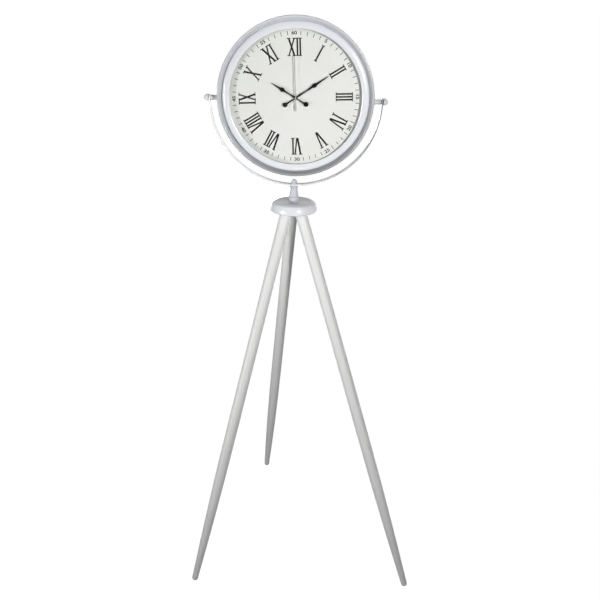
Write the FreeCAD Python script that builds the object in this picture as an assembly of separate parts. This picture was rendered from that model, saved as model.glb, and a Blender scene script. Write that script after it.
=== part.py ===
"""Tripod floor clock: a drum-shaped clock head that tilts in a semicircular yoke, on a stem and three legs.

Millimetres, +Z up. The origin is on the floor, straight below the stem's axis. The dial faces -Y, the head
tilts about the X direction, and the twelve on the dial points up.
"""
import FreeCAD, Part
import math
import os

from FreeCAD import Vector

# Stand: where the feet stand, as distance from the stem's axis and degrees from +X, and how the legs lean
LEG_FEET = {"left": (358.0, 224.5), "right": (424.0, 325.5), "rear": (374.5, 104.0)}
LEG_R = 15.5
LEG_TOP_Z = 1040.0
LEG_TOP_OFFSET = 25.5  # from the stem's axis to the middle of a leg's top face
LEG_TOP_BEARINGS = {"left": 224.5, "right": 316.5, "rear": 98.0}  # in degrees from +X
LEG_TAPER_SHARE = 0.42  # lower share of the leg that narrows towards the foot
LEG_CHAMFER = 1.5
FOOT_R = 8.5
FOOT_CENTRE = 7.0  # middle of the rounded foot, along the leg from the floor
LEG_BOLT_R = 4.0
LEG_BOLT_IN_LEG = 45.0
LEG_BOLT_IN_BOSS = 12.0
BOSS_R = 9.0

# Stand: cap, plate and stem
CAP_TOP_Z = 1064.2
CAP_R = 62.5
CAP_HEIGHT = 28.5
CAP_SHEET = 1.2
CAP_FLAT_R = 43.0
CAP_SHOULDER_DROP = 5.0
CAP_WALL_LEAN = 5.0  # how far the wall comes out between the shoulder and the hem
CAP_HEM_R = 4.5
CAP_HEM_INNER_R = 50.0
PLATE_R = 42.0
PLATE_T = 8.0
ROD_R = 4.0
ROD_CLEARANCE = 0.05
STEM_BEAD_R = 14.6
STEM_BEAD_HEIGHT = 10.5
STEM_LOW_R = 11.7
STEM_NECK_R = 9.0
STEM_COLLAR_R = 10.9
FINIAL_R = 8.3
FINIAL_HEIGHT = 12.0
FIBRE_WASHER_T = 0.8
FIBRE_WASHER_R = 8.0

# Head: heights of the pivots and of the dial's middle, case and yoke
PIVOT_Z = 1329.5
HEAD_Z = 1337.0
CASE_R = 200.0
YOKE_R = 221.5  # to the middle of the strip
YOKE_T = 4.0
YOKE_W = 18.0
YOKE_EDGE_R = 0.8
PIVOT_R = 3.0
PIVOT_CLEARANCE = 0.05
POST_R = 7.0
KNOB_R = 10.0
KNOB_LENGTH = 11.5

# Head: depths along Y, from the dial's front face
DIAL_FRONT = -18.0
DIAL_T = 2.0
DIAL_REAR = DIAL_FRONT + DIAL_T
DIAL_R = 190.0
GLASS_GAP = 10.0
GLASS_T = 2.5
GLASS_R = 174.0
GASKET_T = 0.8
OPENING_R = 168.5  # clear opening of the bezel
SPACER_R = 169.5
SHEET = 1.0
SKIRT_GAP = 0.1
DRUM_R = CASE_R - SHEET - SKIRT_GAP
DRUM_REAR = 32.0
DRUM_CORNER = 2.0
FRONT_FLANGE_R = 178.0
REAR_FLANGE_R = 176.0
WINDOW_R = 60.0
COVER_SCREW_CIRCLE_R = 184.0
COVER_SCREWS = 6
BEZEL_SCREW_ANGLES = (60.0, 120.0, 240.0, 300.0)
SKIRT_SCREW_Y = -11.3
SKIRT_SCREW_R = 0.8
COVER_SCREW_R = 1.5

# Bezel: middle line of its sheet, as (outward from the opening, back from the lip)
LIP_MIDDLE, BAND_CREST = (3.0, -1.3), (7.0, -1.8)
BAND_MIDDLE, BAND_EDGE = (13.8, -0.7), (17.1, 2.4)
VALLEY, COVE_TOP = (18.6, 9.3), (26.6, -0.2)
COVE_MIDDLE = (23.1, 5.0)
RIM_CREST, RIM_BACK = (29.2, -1.2), 2.0

# Movement: outside and the electric pieces
MOVEMENT_HALF = 28.0
MOVEMENT_WALL = 1.5
MOVEMENT_CORNER = 4.0
MOVEMENT_START = 1.0  # depth of the front wall's face behind the dial
LID_START = 15.0
BATTERY_R = 7.25
BATTERY_HALF = 25.1
BATTERY_Z = -19.0
BATTERY_DEPTH = 11.5
BAY_WALL_TOP = -10.3
BUSH_R = 3.9
BUSH_LENGTH = 3.0  # ahead of the dial
ARBOR_CLEARANCE = 0.05
HOUR_TUBE_R = 2.55
MINUTE_TUBE_R = 1.6
MINUTE_TIP_R = 1.3
SECOND_ARBOR_R = 0.55
ARBOR_R = 0.4
MOTION_ARBOR_R = 0.75
ARBOR_FRONT = 5.6
ARBOR_REAR = 15.6
SETTING_KNOB_R = 6.5

# Wheel train: teeth, the modules that are free to choose, and the bearings of the arbors seen from the front
CANNON_TEETH, MOTION_TEETH = 12, 36
MOTION_PINION_TEETH, HOUR_TEETH = 10, 40
THIRD_PINION_TEETH, CENTRE_TEETH = 8, 64
SECOND_PINION_TEETH, THIRD_TEETH = 8, 60
STEP_PINION_TEETH, SECOND_TEETH = 10, 60
ROTOR_PINION_TEETH, STEP_TEETH = 10, 50
HOUR_MODULE = 0.36
FINE_MODULE = 0.2
STEP_DISTANCE = 7.3
MOTION_BEARING = 150.0
THIRD_BEARING = 30.0
STEP_BEARING = -30.0
ROTOR_BEARING = -10.0
ADDENDUM, DEDENDUM = 0.9, 1.2  # in modules
ROOT_HALF, TIP_HALF = 0.30, 0.10  # half a tooth's width, as a share of the pitch

# Hands: clockwise angles from the twelve, lengths from the middle
HOUR_ANGLE, MINUTE_ANGLE, SECOND_ANGLE = 299.7, 55.8, 357.2
HOUR_LENGTH, HOUR_BEAD, HOUR_TAIL = 72.0, 39.5, 31.0
MINUTE_LENGTH, MINUTE_BEAD, MINUTE_TAIL = 99.0, 57.0, 32.0
SECOND_LENGTH, SECOND_TAIL = 103.0, 33.0
HAND_HUB_R = 5.0
HAND_T = 0.5
TAIL_DISC_R = 6.2
BEAD_HALF_W, BEAD_HALF_L = 5.5, 7.0

X_AXIS = Vector(1, 0, 0)
Y_AXIS = Vector(0, 1, 0)
Z_AXIS = Vector(0, 0, 1)
HEAD_CENTRE = Vector(0, 0, HEAD_Z)
PIVOT_CENTRE = Vector(0, 0, PIVOT_Z)


def union(first, *others):
    return first.fuse(list(others)).removeSplitter()


def polar(distance, bearing):
    return distance * math.cos(math.radians(bearing)), distance * math.sin(math.radians(bearing))


class Lathe:
    """An axis that round pieces are made about; along and across give places on its half plane."""

    def __init__(self, base, along, across):
        self.base = base
        self.along = along
        self.across = across
        self.up = across.cross(along)

    def at(self, across, along, up=0.0):
        return self.base + self.across * across + self.along * along + self.up * up

    def path(self, start, *steps):
        """Wire through points; a step made of two points is an arc through the first to the second."""
        edges = []
        here = start
        for step in steps:
            if isinstance(step[0], tuple):
                through, end = step
                edges.append(Part.Arc(self.at(*here), self.at(*through), self.at(*end)).toShape())
            else:
                end = step
                edges.append(Part.LineSegment(self.at(*here), self.at(*end)).toShape())
            here = end
        return Part.Wire(edges)

    def dome(self, edge, tip):
        """Arc step from a rim to a tip on the axis, round about a point of the axis."""
        radius, height = edge[0], tip - edge[1]
        ball_r = (radius ** 2 + height ** 2) / (2 * height)
        rise = math.copysign(math.sqrt(ball_r ** 2 - radius ** 2 / 4), height)
        half_way = (radius / 2, tip - ball_r + rise)
        return half_way, (0.0, tip)

    def turned(self, start, *steps):
        """Solid of revolution from a closed outline."""
        return Part.Face(self.path(start, *steps, start)).revolve(self.base, self.along, 360)

    def spun(self, thickness, start, *steps):
        """Sheet of even thickness with rounded edges, from its middle line."""
        section = self.path(start, *steps).makeOffset2D(thickness / 2, fill=True, openResult=True)
        return section.revolve(self.base, self.along, 360)

    def bar(self, radius, start, end):
        return Part.makeCylinder(radius, end - start, self.at(0, start), self.along)

    def tube(self, inner, outer, start, end):
        return self.bar(outer, start, end).cut(self.bar(inner, start, end))

    def prism(self, points, start, end):
        """Solid between two depths over a closed outline of (across, up) points."""
        corners = [self.at(across, start, up) for across, up in points]
        return Part.Face(Part.makePolygon(corners + corners[:1])).extrude(self.along * (end - start))

    def block(self, low, high, start, end):
        """Rectangular block between two (across, up) corners and two depths."""
        outline = [low, (high[0], low[1]), high, (low[0], high[1])]
        return self.prism(outline, start, end)

    def hexagon(self, flats, bore, start, end):
        corner = flats / math.sqrt(3)
        turns = [math.radians(60 * i) for i in range(6)]
        body = self.prism([(corner * math.cos(t), corner * math.sin(t)) for t in turns], start, end)
        return body.cut(self.bar(bore, start, end))

    def gear(self, teeth, module, phase, start, end):
        """Straight-flanked gear; phase is the bearing of one tooth's middle in degrees."""
        pitch = 2 * math.pi / teeth
        tip = module * (teeth / 2 + ADDENDUM)
        root = module * (teeth / 2 - DEDENDUM)
        corners = ((root, -ROOT_HALF), (tip, -TIP_HALF), (tip, TIP_HALF), (root, ROOT_HALF))
        points = []
        for i in range(teeth):
            middle = math.radians(phase) + i * pitch
            for radius, share in corners:
                turn = middle + share * pitch
                points.append((radius * math.cos(turn), radius * math.sin(turn)))
        return self.prism(points, start, end)


STEM = Lathe(Vector(0, 0, 0), Z_AXIS, X_AXIS)
DIAL = Lathe(HEAD_CENTRE, Y_AXIS, X_AXIS)
YOKE = Lathe(PIVOT_CENTRE, Y_AXIS, X_AXIS)
PIVOTS = {"left": Lathe(PIVOT_CENTRE, -X_AXIS, Y_AXIS), "right": Lathe(PIVOT_CENTRE, X_AXIS, Y_AXIS)}


def leg_axis(side):
    """Axis from the floor up the middle of a leg, and the leg's length on it."""
    foot = Vector(*polar(*LEG_FEET[side]), 0)
    top = Vector(*polar(LEG_TOP_OFFSET, LEG_TOP_BEARINGS[side]), LEG_TOP_Z)
    run = top - foot
    length = run.Length
    sideways = Z_AXIS.cross(run).normalize()
    return Lathe(foot, run.normalize(), sideways), length


def leg(side):
    """Round leg, straight above and narrowing on a long curve to a rounded foot cut level with the floor."""
    axis, length = leg_axis(side)
    taper_top = LEG_TAPER_SHARE * length
    rise = taper_top - FOOT_CENTRE
    narrowing = LEG_R - FOOT_R
    curve_r = (rise ** 2 + narrowing ** 2) / (2 * narrowing)
    half_way_r = LEG_R - curve_r + math.sqrt(curve_r ** 2 - (rise / 2) ** 2)
    slant = FOOT_R * math.sqrt(0.5)
    body = axis.turned(
        (0, FOOT_CENTRE - FOOT_R),
        ((slant, FOOT_CENTRE - slant), (FOOT_R, FOOT_CENTRE)),
        ((half_way_r, FOOT_CENTRE + rise / 2), (LEG_R, taper_top)),
        (LEG_R, length - LEG_CHAMFER),
        (LEG_R - LEG_CHAMFER, length),
        (0, length),
    )
    below_floor = Part.makeBox(4 * LEG_R, 4 * LEG_R, LEG_R, axis.base - Vector(2 * LEG_R, 2 * LEG_R, LEG_R))
    return body.cut([below_floor, axis.bar(LEG_BOLT_R, length - LEG_BOLT_IN_LEG, length)])


def leg_bolt(side):
    axis, length = leg_axis(side)
    return axis.bar(LEG_BOLT_R, length - LEG_BOLT_IN_LEG, length + LEG_BOLT_IN_BOSS)


def plate_top():
    return CAP_TOP_Z - CAP_SHEET


def plate_bottom():
    return plate_top() - PLATE_T


def leg_plate():
    """Round plate under the cap with a slanted boss for each leg's bolt."""
    plate = STEM.bar(PLATE_R, plate_bottom(), plate_top())
    bosses = []
    holes = [STEM.bar(ROD_R + ROD_CLEARANCE, plate_bottom(), plate_top())]
    for side in LEG_FEET:
        axis, length = leg_axis(side)
        boss_end = length + (plate_bottom() + PLATE_T / 4 - LEG_TOP_Z) / axis.along.z
        bosses.append(axis.bar(BOSS_R, length, boss_end))
        holes.append(axis.bar(LEG_BOLT_R, length, length + LEG_BOLT_IN_BOSS))
    return union(plate, *bosses).cut(holes)


def canopy_cap():
    """Bun-shaped sheet cap: flat top, round shoulder, wall that widens downwards, hem turned in below."""
    half = CAP_SHEET / 2
    wall = CAP_R - half
    top = CAP_TOP_Z - half
    bottom = CAP_TOP_Z - CAP_HEIGHT + half
    shoulder = (wall - CAP_WALL_LEAN, top - CAP_SHOULDER_DROP)
    shoulder_middle = ((CAP_FLAT_R + shoulder[0]) / 2, top - CAP_SHOULDER_DROP / 4)
    hem = (wall - CAP_HEM_R, bottom + CAP_HEM_R)
    wall_middle = (wall - CAP_WALL_LEAN / 4, (shoulder[1] + hem[1]) / 2)
    slant = math.sqrt(0.5)
    return STEM.spun(
        CAP_SHEET,
        (ROD_R + CAP_SHEET, top),
        (CAP_FLAT_R, top),
        (shoulder_middle, shoulder),
        (wall_middle, (wall, hem[1])),
        ((hem[0] + CAP_HEM_R * slant, hem[1] - CAP_HEM_R * slant), (hem[0], bottom)),
        (CAP_HEM_INNER_R, bottom),
    )


def yoke_bottom():
    return PIVOT_Z - YOKE_R - YOKE_T / 2


def yoke_seat():
    """Height of the flat washer above the strip, clear of the strip's curve under its rim."""
    inner = YOKE_R - YOKE_T / 2
    return PIVOT_Z - math.sqrt(inner ** 2 - FIBRE_WASHER_R ** 2) + 0.1


def stem_top():
    return yoke_bottom() - FIBRE_WASHER_T - 0.1


def stem():
    """Turned column: base bead, slender cone, groove and a collar under the yoke."""
    foot = CAP_TOP_Z
    bead_top = foot + STEM_BEAD_HEIGHT
    top = stem_top()
    body = STEM.turned(
        (ROD_R + ROD_CLEARANCE, foot),
        (STEM_BEAD_R - 0.8, foot),
        ((STEM_BEAD_R, foot + STEM_BEAD_HEIGHT / 2), (STEM_BEAD_R - 0.8, bead_top)),
        ((STEM_LOW_R + 0.6, bead_top + 1.6), (STEM_LOW_R, bead_top + 4.5)),
        (STEM_NECK_R, top - 8.0),
        (STEM_NECK_R - 0.6, top - 7.2),
        (STEM_NECK_R - 0.6, top - 6.4),
        (STEM_COLLAR_R - 0.8, top - 5.6),
        ((STEM_COLLAR_R, top - 3.2), (STEM_COLLAR_R - 0.7, top - 0.8)),
        (STEM_COLLAR_R - 1.6, top),
        (ROD_R + ROD_CLEARANCE, top),
    )
    return body


def finial():
    """Bullet-shaped nut on the end of the rod."""
    base = yoke_seat() + FIBRE_WASHER_T
    tip = base + FINIAL_HEIGHT
    nose = (FINIAL_R / 2, tip - 2.0)
    bore_top = base + FINIAL_HEIGHT * 0.6
    return STEM.turned(
        (ROD_R, base),
        (FINIAL_R - 0.8, base),
        ((FINIAL_R, base + 1.6), (FINIAL_R - 0.5, base + 3.4)),
        (FINIAL_R - 1.1, base + 4.0),
        ((FINIAL_R * 0.79, base + FINIAL_HEIGHT * 0.6), nose),
        STEM.dome(nose, tip),
        (0, bore_top),
        (ROD_R, bore_top),
    )


def stand_pieces():
    rod_bottom = plate_bottom() - 12.0
    rod_top = yoke_seat() + FIBRE_WASHER_T + FINIAL_HEIGHT * 0.55
    washer_bottom = plate_bottom() - 1.6
    hole = ROD_R + ROD_CLEARANCE
    lower_washer = STEM.tube(hole, FIBRE_WASHER_R, stem_top(), stem_top() + FIBRE_WASHER_T)
    upper_washer = STEM.tube(hole, FIBRE_WASHER_R, yoke_seat(), yoke_seat() + FIBRE_WASHER_T)
    pieces = {"leg_" + side: leg(side) for side in LEG_FEET}
    pieces.update({
        "leg_bolts": Part.makeCompound([leg_bolt(side) for side in LEG_FEET]),
        "leg_plate": leg_plate(),
        "canopy_cap": canopy_cap(),
        "stem": stem(),
        "centre_rod": STEM.bar(ROD_R, rod_bottom, rod_top),
        "plate_washer": STEM.tube(hole, 2 * ROD_R, washer_bottom, plate_bottom()),
        "plate_nut": STEM.hexagon(13.0, ROD_R, washer_bottom - 6.5, washer_bottom),
        "finial": finial(),
        "swivel_washers": Part.makeCompound([lower_washer, upper_washer]),
    })
    return pieces


def yoke_strip():
    """Flat bar bent to a half circle, with full round ends past the pivot holes and a hole for the rod."""
    inner, outer = YOKE_R - YOKE_T / 2, YOKE_R + YOKE_T / 2
    half = YOKE_W / 2
    low_corner = Vector(-2 * YOKE_R, -half, PIVOT_Z - 2 * YOKE_R)
    lower_half = Part.makeBox(4 * YOKE_R, YOKE_W, 2 * YOKE_R, low_corner)
    arc = YOKE.tube(inner, outer, -half, half).common(lower_half)
    ends = []
    holes = [STEM.bar(ROD_R + ROD_CLEARANCE, yoke_bottom() - YOKE_T, yoke_bottom() + 3 * YOKE_T)]
    for axis in PIVOTS.values():
        ends.append(axis.bar(half, inner, outer).cut(lower_half))
        holes.append(axis.bar(PIVOT_R + PIVOT_CLEARANCE, inner - YOKE_T, outer + YOKE_T))
    bent = union(arc, *ends)
    bent = bent.makeFillet(YOKE_EDGE_R, [edge for edge in bent.Edges if abs(edge.CenterOfMass.y) > half / 4])
    return bent.cut(holes)


def case_drum(bezel_screw_holes, cover_screw_holes):
    """Sheet drum with a flange turned in at the front for the dial and at the rear for the cover."""
    half = SHEET / 2
    wall = DRUM_R - half
    front = DIAL_REAR + half
    rear = DRUM_REAR - half
    corner = DRUM_CORNER * (1 - math.sqrt(0.5))
    drum = DIAL.spun(
        SHEET,
        (REAR_FLANGE_R, rear),
        (wall - DRUM_CORNER, rear),
        ((wall - corner, rear - corner), (wall, rear - DRUM_CORNER)),
        (wall, front + DRUM_CORNER),
        ((wall - corner, front + corner), (wall - DRUM_CORNER, front)),
        (FRONT_FLANGE_R, front),
    )
    stud_holes = [axis.bar(PIVOT_R, DRUM_R - 10, DRUM_R + 10) for axis in PIVOTS.values()]
    return drum.cut(stud_holes + bezel_screw_holes + cover_screw_holes)


def glass_front():
    return DIAL_FRONT - GLASS_GAP - GLASS_T


def bezel(screw_holes):
    """Spun ring: lip on the glass, band that drops to a valley, cove up to the rim, skirt over the drum."""
    half = SHEET / 2
    lip = glass_front() - half - 0.05
    rim = CASE_R - half

    def place(point):
        return OPENING_R + point[0], lip + point[1]

    ring = DIAL.spun(
        SHEET,
        (OPENING_R + half, lip),
        (place(LIP_MIDDLE), place(BAND_CREST)),
        (place(BAND_MIDDLE), place(BAND_EDGE)),
        place(VALLEY),
        (place(COVE_MIDDLE), place(COVE_TOP)),
        (place(RIM_CREST), (rim, lip + RIM_BACK)),
        (rim, -POST_R - SHEET),
    )
    return ring.cut(screw_holes)


def pan_screw(axis, head_r, shank_r, seat, shank_end):
    """Screw about an axis, with a slotted head beyond the seat and its shank on the other side."""
    head_top = seat + head_r * 0.6
    head_rim = (head_r, seat + head_r * 0.2)
    screw = axis.turned(
        (0, shank_end),
        (shank_r, shank_end),
        (shank_r, seat),
        (head_r, seat),
        head_rim,
        axis.dome(head_rim, head_top),
    )
    slot = axis.block((-head_r, -head_r * 0.12), (head_r, head_r * 0.12), head_top - head_r * 0.35, head_top)
    return screw.cut(slot)


def cover_screw_axes():
    axes = []
    for i in range(COVER_SCREWS):
        turn = math.radians(30 + i * 360 / COVER_SCREWS)
        place = DIAL.at(COVER_SCREW_CIRCLE_R * math.cos(turn), 0, COVER_SCREW_CIRCLE_R * math.sin(turn))
        axes.append(Lathe(place, Y_AXIS, X_AXIS))
    return axes


def bezel_screw_axes():
    axes = []
    for angle in BEZEL_SCREW_ANGLES:
        turn = math.radians(angle)
        outward = Vector(math.cos(turn), 0, math.sin(turn))
        axes.append(Lathe(DIAL.at(0, SKIRT_SCREW_Y), outward, Y_AXIS))
    return axes


def rear_cover(screw_holes):
    """Pressed back plate with a round window whose edge is turned in."""
    middle = DRUM_REAR + SHEET / 2
    turn_in = 1.5
    corner = turn_in * (1 - math.sqrt(0.5))
    cover = DIAL.spun(
        SHEET,
        (WINDOW_R + SHEET / 2, middle - 2 * turn_in),
        (WINDOW_R + SHEET / 2, middle - turn_in),
        ((WINDOW_R + SHEET / 2 + corner, middle - corner), (WINDOW_R + SHEET / 2 + turn_in, middle)),
        (DRUM_R - 6, middle),
    )
    return cover.cut(screw_holes)


def case_pieces():
    cover_axes = cover_screw_axes()
    skirt_axes = bezel_screw_axes()
    cover_holes = [axis.bar(COVER_SCREW_R, 0, DRUM_REAR + 5) for axis in cover_axes]
    skirt_holes = [axis.bar(SKIRT_SCREW_R, DRUM_R - 5, DRUM_R + 5) for axis in skirt_axes]
    glass_rear = DIAL_FRONT - GLASS_GAP
    return {
        "case_drum": case_drum(skirt_holes, cover_holes),
        "bezel": bezel(skirt_holes),
        "bezel_screws": Part.makeCompound(
            [pan_screw(axis, 1.4, SKIRT_SCREW_R, CASE_R, DRUM_R - 5) for axis in skirt_axes]),
        "glass": DIAL.bar(GLASS_R, glass_front(), glass_rear),
        "glass_gasket": DIAL.tube(SPACER_R + 0.5, GLASS_R, glass_rear, glass_rear + GASKET_T),
        "spacer_ring": DIAL.tube(SPACER_R, SPACER_R + 2, glass_rear + GASKET_T, DIAL_FRONT),
        "dial": DIAL.tube(BUSH_R + 0.2, DIAL_R, DIAL_FRONT, DIAL_REAR),
        "rear_cover": rear_cover(cover_holes),
        "cover_screws": Part.makeCompound(
            [pan_screw(axis, 3.2, COVER_SCREW_R, DRUM_REAR + SHEET, DRUM_REAR - 5) for axis in cover_axes]),
    }


def post(axis):
    """Turned post from the drum's wall to the yoke, waisted in the middle."""
    foot, end = DRUM_R - 2, YOKE_R - YOKE_T / 2 - 1.5
    waist = POST_R - 0.9
    middle = (DRUM_R + end) / 2
    body = axis.turned(
        (PIVOT_R, foot),
        (POST_R, foot),
        (POST_R, DRUM_R + 5),
        ((waist, middle), (POST_R, end - 4)),
        (POST_R, end - 0.6),
        (POST_R - 0.6, end),
        (PIVOT_R, end),
    )
    return body.cut(DIAL.bar(DRUM_R, -2 * POST_R, 2 * POST_R))


def knob(axis):
    """Blunt cone-shaped thumb nut with a blind bore over the pivot stud."""
    seat = YOKE_R + YOKE_T / 2 + 1.5
    bore = PIVOT_R + PIVOT_CLEARANCE
    tip = seat + KNOB_LENGTH
    nose = (KNOB_R * 0.56, tip - 2.4)
    return axis.turned(
        (bore, seat),
        (KNOB_R - 1.5, seat),
        ((KNOB_R, seat + 1.3), (KNOB_R - 0.8, seat + 2.8)),
        ((KNOB_R * 0.82, seat + 5.9), nose),
        axis.dome(nose, tip),
        (0, tip - 3.5),
        (bore, tip - 3.5),
    )


def pivot_pieces():
    """Posts, knobs and, on each stud, a nut inside the drum and washers on both sides of the strip."""
    inner, outer = YOKE_R - YOKE_T / 2, YOKE_R + YOKE_T / 2
    washer_end = DRUM_R - SHEET - 0.6  # clear of the drum's curve, which falls away below the dial's middle
    washer_start = washer_end - 1.0
    studs, nuts, washers = [], [], []
    pieces = {}
    for side, axis in PIVOTS.items():
        pieces["post_" + side] = post(axis)
        pieces["knob_" + side] = knob(axis)
        studs.append(axis.bar(PIVOT_R, washer_start - 7, outer + KNOB_LENGTH - 3))
        nuts.append(axis.hexagon(10.0, PIVOT_R, washer_start - 4.5, washer_start))
        washers.append(axis.tube(PIVOT_R, 6.0, washer_start, washer_end))
        washers.append(axis.tube(PIVOT_R, POST_R - 0.5, inner - 1.5, inner - 0.3))
        washers.append(axis.tube(PIVOT_R, POST_R - 0.5, outer + 0.3, outer + 1.3))
    pieces["pivot_studs"] = Part.makeCompound(studs)
    pieces["pivot_nuts"] = Part.makeCompound(nuts)
    pieces["pivot_washers"] = Part.makeCompound(washers)
    return pieces


def behind(depth):
    """Y of a depth behind the dial's back."""
    return DIAL_REAR + depth


def ahead(height):
    """Y of a height in front of the dial's face."""
    return DIAL_FRONT - height


def arbor_axis(place):
    return Lathe(DIAL.at(place[0], 0, place[1]), Y_AXIS, X_AXIS)


# Centre distances of the wheel pairs, and the modules that they give to the pairs sharing them
MOTION_DISTANCE = HOUR_MODULE * (MOTION_PINION_TEETH + HOUR_TEETH) / 2
CANNON_MODULE = 2 * MOTION_DISTANCE / (CANNON_TEETH + MOTION_TEETH)
THIRD_DISTANCE = FINE_MODULE * (THIRD_PINION_TEETH + CENTRE_TEETH) / 2
THIRD_MODULE = 2 * THIRD_DISTANCE / (SECOND_PINION_TEETH + THIRD_TEETH)
STEP_MODULE = 2 * STEP_DISTANCE / (STEP_PINION_TEETH + SECOND_TEETH)
ROTOR_DISTANCE = FINE_MODULE * (ROTOR_PINION_TEETH + STEP_TEETH) / 2

MOTION_PLACE = polar(MOTION_DISTANCE, MOTION_BEARING)
THIRD_PLACE = polar(THIRD_DISTANCE, THIRD_BEARING)
STEP_PLACE = polar(STEP_DISTANCE, STEP_BEARING)
ROTOR_OFFSET = polar(ROTOR_DISTANCE, ROTOR_BEARING)
ROTOR_PLACE = (STEP_PLACE[0] + ROTOR_OFFSET[0], STEP_PLACE[1] + ROTOR_OFFSET[1])
MOTION = arbor_axis(MOTION_PLACE)
THIRD = arbor_axis(THIRD_PLACE)
STEP = arbor_axis(STEP_PLACE)
ROTOR = arbor_axis(ROTOR_PLACE)


def gap_phase(teeth, bearing):
    """Phase that turns a gap, not a tooth, towards the partner that lies back along a bearing."""
    return bearing + 180 + 180 / teeth


def rounded_block(start, end):
    """Square block about the dial's axis with the movement's outline."""
    corner = (-MOVEMENT_HALF, -MOVEMENT_HALF)
    block = DIAL.block(corner, (MOVEMENT_HALF, MOVEMENT_HALF), start, end)
    uprights = [edge for edge in block.Edges if abs(edge.tangentAt(edge.FirstParameter).y) > 0.99]
    return block.makeFillet(MOVEMENT_CORNER, uprights)


def movement_case():
    """Front tray of the movement: front wall, side walls, the battery bay's wall and four pillars."""
    inside = MOVEMENT_HALF - MOVEMENT_WALL
    floor = MOVEMENT_START + MOVEMENT_WALL
    tray = rounded_block(behind(MOVEMENT_START), behind(LID_START))
    tray = tray.cut(DIAL.block((-inside, -inside), (inside, inside), behind(floor), behind(LID_START)))
    bay_low, bay_high = (-inside, BAY_WALL_TOP - 1), (inside, BAY_WALL_TOP)
    bay_wall = DIAL.block(bay_low, bay_high, behind(floor), behind(LID_START))
    pillars = []
    for across in (-23.0, 23.0):
        for up in (-7.0, 23.0):
            pillars.append(arbor_axis((across, up)).bar(2.0, behind(floor), behind(5.4)))
    holes = [
        DIAL.bar(BUSH_R, behind(0), behind(floor)),
        MOTION.bar(MOTION_ARBOR_R + ARBOR_CLEARANCE, behind(floor - 1), behind(floor)),
    ]
    return union(tray, bay_wall, *pillars).cut(holes)


def movement_lid():
    """Rear lid with the battery's opening, bearing holes and short posts that hold the electric pieces."""
    lid = rounded_block(behind(LID_START), behind(LID_START + MOVEMENT_WALL))
    posts = []
    for depth, places in ((12.9, ((10.0, 10.0), (21.5, 8.0))), (13.2, ((-20.0, 16.0), (-8.0, 22.0)))):
        posts += [arbor_axis(place).bar(1.2, behind(depth), behind(LID_START)) for place in places]
    bearing_end = behind(LID_START + 0.8)
    opening = DIAL.block((-26.0, -26.6), (26.0, BAY_WALL_TOP - 1.3), behind(LID_START), behind(LID_START + 3))
    cuts = [
        opening,
        DIAL.bar(SECOND_ARBOR_R + ARBOR_CLEARANCE, behind(LID_START), bearing_end),
        THIRD.bar(ARBOR_R + ARBOR_CLEARANCE, behind(LID_START), bearing_end),
        STEP.bar(ARBOR_R + ARBOR_CLEARANCE, behind(LID_START), bearing_end),
        ROTOR.bar(ARBOR_R + ARBOR_CLEARANCE, behind(LID_START), bearing_end),
        MOTION.bar(MOTION_ARBOR_R + ARBOR_CLEARANCE, behind(LID_START), behind(LID_START + 3)),
    ]
    return union(lid, *posts).cut(cuts)


def train_plate():
    """Inner plate on the tray's pillars that carries the front ends of the arbors."""
    edge = MOVEMENT_HALF - MOVEMENT_WALL - 0.1
    plate = DIAL.block((-edge, BAY_WALL_TOP + 0.1), (edge, edge), behind(5.4), behind(6.2))
    bores = [
        DIAL.bar(MINUTE_TUBE_R + ARBOR_CLEARANCE, behind(5), behind(7)),
        THIRD.bar(ARBOR_R + ARBOR_CLEARANCE, behind(5), behind(7)),
        STEP.bar(ARBOR_R + ARBOR_CLEARANCE, behind(5), behind(7)),
        ROTOR.bar(ARBOR_R + ARBOR_CLEARANCE, behind(5), behind(7)),
        MOTION.bar(MOTION_ARBOR_R + ARBOR_CLEARANCE, behind(5), behind(7)),
    ]
    return plate.cut(bores)


def battery_axis():
    return Lathe(DIAL.at(0, behind(BATTERY_DEPTH), BATTERY_Z), X_AXIS, Y_AXIS)


def battery():
    axis = battery_axis()
    nub = axis.bar(2.75, BATTERY_HALF, BATTERY_HALF + 1.0)
    return union(axis.bar(BATTERY_R, -BATTERY_HALF, BATTERY_HALF), nub)


def battery_contacts():
    """Contact plates on the bay's end walls, one with a short spring collar."""
    axis = battery_axis()
    wall = MOVEMENT_HALF - MOVEMENT_WALL
    positive = axis.block((-4.0, -5.0), (3.0, 5.0), BATTERY_HALF + 1.0, wall)
    negative = axis.block((-4.0, -5.0), (3.0, 5.0), -wall, -wall + 0.4)
    spring = axis.tube(2.0, 3.2, -wall + 0.4, -BATTERY_HALF)
    return Part.makeCompound([positive, union(negative, spring)])


def stator():
    """Flat iron loop: a wide foot around the rotor, two arms and the bar that runs through the coil."""
    foot = DIAL.block((8.5, -9.5), (23.0, 0.0), behind(12.1), behind(12.9))
    arms = [DIAL.block((left, 0.0), (left + 3.0, 18.5), behind(12.1), behind(12.9)) for left in (8.5, 20.0)]
    core = DIAL.block((11.5, 15.5), (20.0, 18.5), behind(12.1), behind(12.9))
    return union(foot, *arms, core).cut(ROTOR.bar(3.4, behind(12), behind(13)))


def coil():
    winding = DIAL.block((12.2, 14.0), (19.3, 20.0), behind(11.3), behind(13.7))
    return winding.cut(DIAL.block((12.2, 15.5), (19.3, 18.5), behind(12.1), behind(12.9)))


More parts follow.
